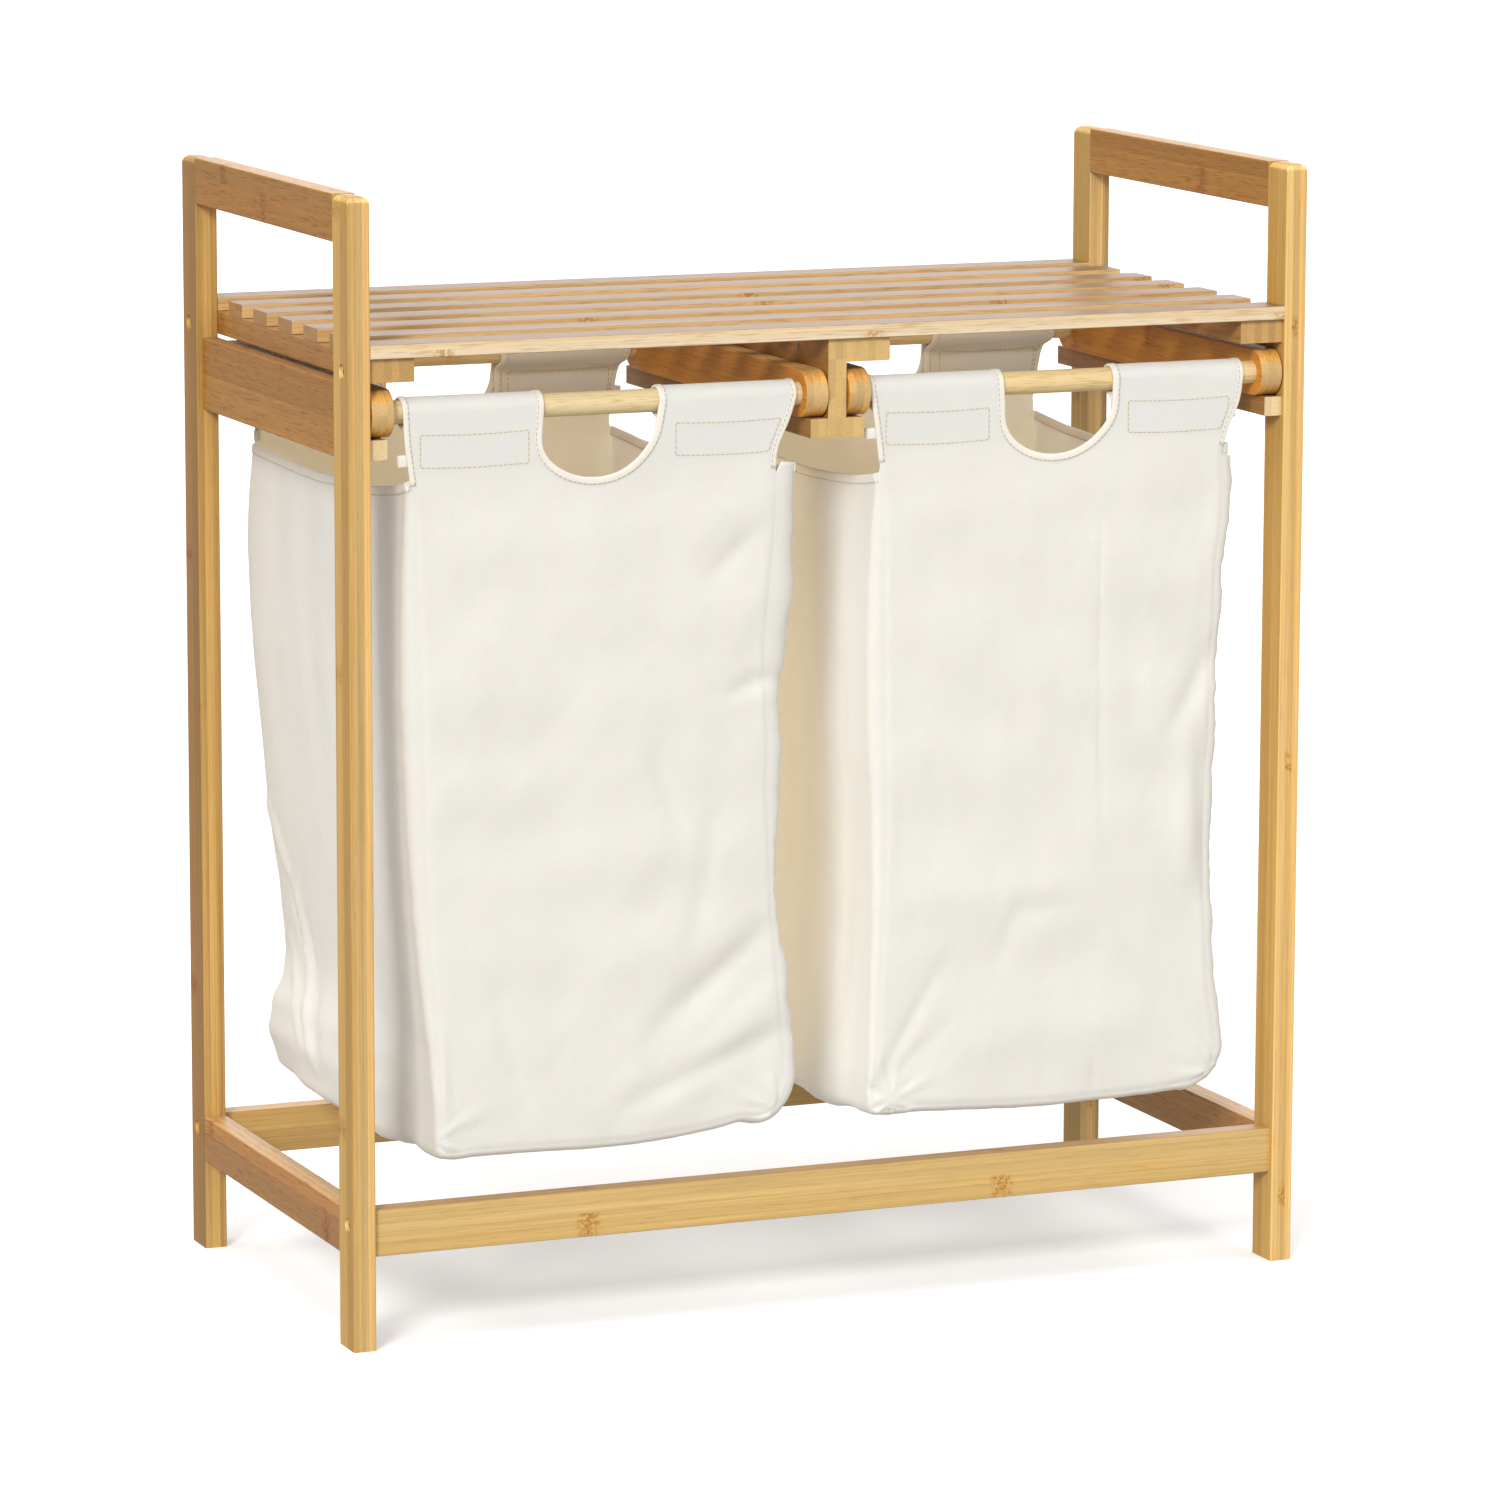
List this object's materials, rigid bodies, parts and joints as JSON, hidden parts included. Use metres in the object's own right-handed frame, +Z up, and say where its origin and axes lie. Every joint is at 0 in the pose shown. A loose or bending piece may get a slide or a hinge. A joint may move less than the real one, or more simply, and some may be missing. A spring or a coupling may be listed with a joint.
{
  "type": "laundry sorter",
  "caption": "Free-standing bamboo laundry sorter with a slatted shelf, raised side handles and cotton bags hung on pull-out sliding frames.",
  "frame": {"origin": "on the floor, midway between the four posts", "axes": "+X to the right seen from the front, -Y towards the front where the frames pull out, +Z up"},
  "size_m": [0.66, 0.325, 0.73],
  "materials": {
    "bamboo": "clear satin lacquer on laminated honey-coloured bamboo",
    "bamboo_dowel": "turned bamboo, satin lacquer",
    "cotton": "unbleached cotton, plain weave",
    "hook_tape": "woven hook-and-loop tape",
    "bolt": "dull brass-plated socket bolt",
    "wood_screw": "zinc-plated countersunk wood screw"
  },
  "bodies": {
    "stand": {"left_front_post": "bamboo", "left_rear_post": "bamboo", "left_handle_rail": "bamboo", "left_bottom_rail": "bamboo", "left_side_board": "bamboo", "left_ledge": "bamboo", "left_bearer": "bamboo", "centre_ledge_left": "bamboo", "right_front_post": "bamboo", "right_rear_post": "bamboo", "right_handle_rail": "bamboo", "right_bottom_rail": "bamboo", "right_side_board": "bamboo", "right_ledge": "bamboo", "right_bearer": "bamboo", "centre_ledge_right": "bamboo", "front_bottom_rail": "bamboo", "rear_bottom_rail": "bamboo", "centre_bearer": "bamboo", "centre_divider": "bamboo", "shelf_slat_1": "bamboo", "shelf_slat_2": "bamboo", "shelf_slat_3": "bamboo", "shelf_slat_4": "bamboo", "shelf_slat_5": "bamboo", "shelf_slat_6": "bamboo", "shelf_slat_7": "bamboo", "frame_bolts": "bolt", "slat_screws": "wood_screw", "divider_screws": "wood_screw"},
    "left_sliding_frame": {"left_frame_outer_board": "bamboo", "left_frame_inner_board": "bamboo", "left_frame_front_dowel": "bamboo_dowel", "left_frame_rear_dowel": "bamboo_dowel", "left_bag_front_panel": "cotton", "left_bag_rear_panel": "cotton", "left_bag_gusset": "cotton", "left_bag_hook_strips": "hook_tape"},
    "right_sliding_frame": {"right_frame_outer_board": "bamboo", "right_frame_inner_board": "bamboo", "right_frame_front_dowel": "bamboo_dowel", "right_frame_rear_dowel": "bamboo_dowel", "right_bag_front_panel": "cotton", "right_bag_rear_panel": "cotton", "right_bag_gusset": "cotton", "right_bag_hook_strips": "hook_tape"}
  },
  "joints": [
    {"name": "left_frame_slide", "type": "slide", "parent": "stand", "child": "left_sliding_frame", "axis": [0, -1, 0], "range_m": [0, 0.2]},
    {"name": "right_frame_slide", "type": "slide", "parent": "stand", "child": "right_sliding_frame", "axis": [0, -1, 0], "range_m": [0, 0.2]}
  ]
}
